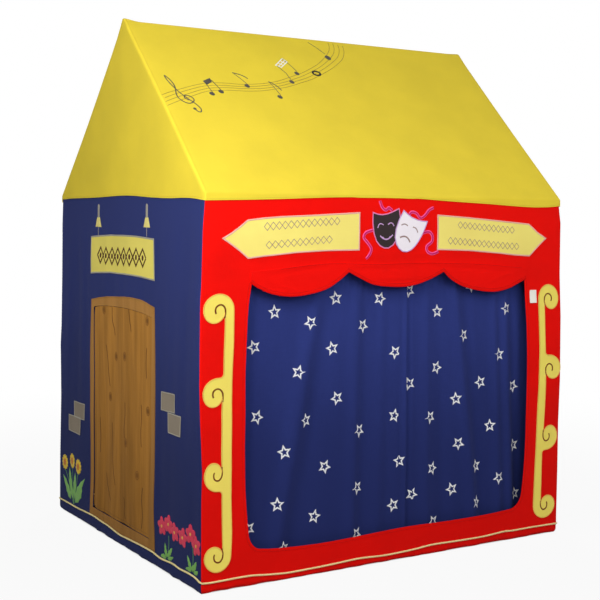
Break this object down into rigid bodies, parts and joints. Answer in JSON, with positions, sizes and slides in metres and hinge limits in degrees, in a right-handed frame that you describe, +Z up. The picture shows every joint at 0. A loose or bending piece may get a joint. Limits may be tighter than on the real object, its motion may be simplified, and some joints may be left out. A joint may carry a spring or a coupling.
{
  "type": "puppet theatre playhouse",
  "caption": "Cloth puppet theatre playhouse on a pole frame, with a curtained stage opening, a scalloped valance and a cloth stage door in one gable wall.",
  "frame": {"origin": "on the floor under the middle of the house", "axes": "+Z up, the stage faces -Y, the stage door faces -X, the ridge runs along X"},
  "size_m": [1.1654, 0.975, 1.4499],
  "materials": {
    "yellow_cloth": "plain woven cotton, bright yellow",
    "red_cloth": "plain woven cotton, bright red",
    "navy_cloth": "plain woven cotton, navy",
    "curtain_cloth": "light woven cotton, blue, with white outlined stars",
    "brown_cloth": "woven cotton, brown, stitched with wood grain",
    "pale_yellow_cloth": "sewn-on cotton, pale yellow, satin-stitched edges",
    "grey_cloth": "sewn-on cotton, warm grey",
    "black_cloth": "sewn-on cotton, near black",
    "white_cloth": "sewn-on cotton, white",
    "pole_wood": "sanded pale wood",
    "joint_plastic": "moulded off-white plastic"
  },
  "bodies": {
    "house": {"base_corner_front_left": "joint_plastic", "base_corner_front_right": "joint_plastic", "base_corner_back_left": "joint_plastic", "base_corner_back_right": "joint_plastic", "eave_corner_front_left": "joint_plastic", "eave_corner_front_right": "joint_plastic", "eave_corner_back_left": "joint_plastic", "eave_corner_back_right": "joint_plastic", "ridge_joint_left": "joint_plastic", "ridge_joint_right": "joint_plastic", "post_front_left": "pole_wood", "post_front_right": "pole_wood", "post_back_left": "pole_wood", "post_back_right": "pole_wood", "rafter_front_left": "pole_wood", "rafter_front_right": "pole_wood", "rafter_back_left": "pole_wood", "rafter_back_right": "pole_wood", "base_rail_front": "pole_wood", "base_rail_back": "pole_wood", "base_rail_left": "pole_wood", "base_rail_right": "pole_wood", "eave_rail_front": "pole_wood", "eave_rail_back": "pole_wood", "eave_rail_left": "pole_wood", "eave_rail_right": "pole_wood", "ridge_pole": "pole_wood", "hem_sleeve_front": "red_cloth", "hem_sleeve_back": "navy_cloth", "hem_sleeve_left": "navy_cloth", "hem_sleeve_right": "navy_cloth", "base_piping": "pale_yellow_cloth", "wall_front": "red_cloth", "wall_back": "navy_cloth", "wall_left": "navy_cloth", "wall_right": "navy_cloth", "roof_front": "yellow_cloth", "roof_back": "yellow_cloth", "gable_left": "yellow_cloth", "gable_right": "yellow_cloth", "valance": "red_cloth", "curtain_rod": "pole_wood", "rod_clip_left": "joint_plastic", "rod_clip_right": "joint_plastic", "curtain_left": "curtain_cloth", "curtain_right": "curtain_cloth", "door_surround": "brown_cloth", "stage_door_sign": "pale_yellow_cloth", "stone_patch_front": "grey_cloth", "stone_patch_back": "grey_cloth", "arrow_sign_left": "pale_yellow_cloth", "arrow_sign_right": "pale_yellow_cloth", "mask_dark": "black_cloth", "mask_light": "white_cloth", "scroll_left": "pale_yellow_cloth", "scroll_right": "pale_yellow_cloth", "side_tab": "white_cloth"},
    "left_curtain_edge": {"curtain_lead_left": "curtain_cloth"},
    "right_curtain_edge": {"curtain_lead_right": "curtain_cloth"},
    "stage_door": {"door_flap": "brown_cloth"}
  },
  "joints": [
    {"name": "left_curtain_slide", "type": "slide", "parent": "house", "child": "left_curtain_edge", "axis": [-1, 0, 0], "range_m": [0, 0.4], "deforming": ["curtain_left"]},
    {"name": "right_curtain_slide", "type": "slide", "parent": "house", "child": "right_curtain_edge", "axis": [1, 0, 0], "range_m": [0, 0.32], "deforming": ["curtain_right"]},
    {"name": "stage_door_hinge", "type": "hinge", "parent": "house", "child": "stage_door", "pos_m": [-0.5804, -0.1824, 0.35], "axis": [0, 0, 1], "range_deg": [0, 100]}
  ]
}
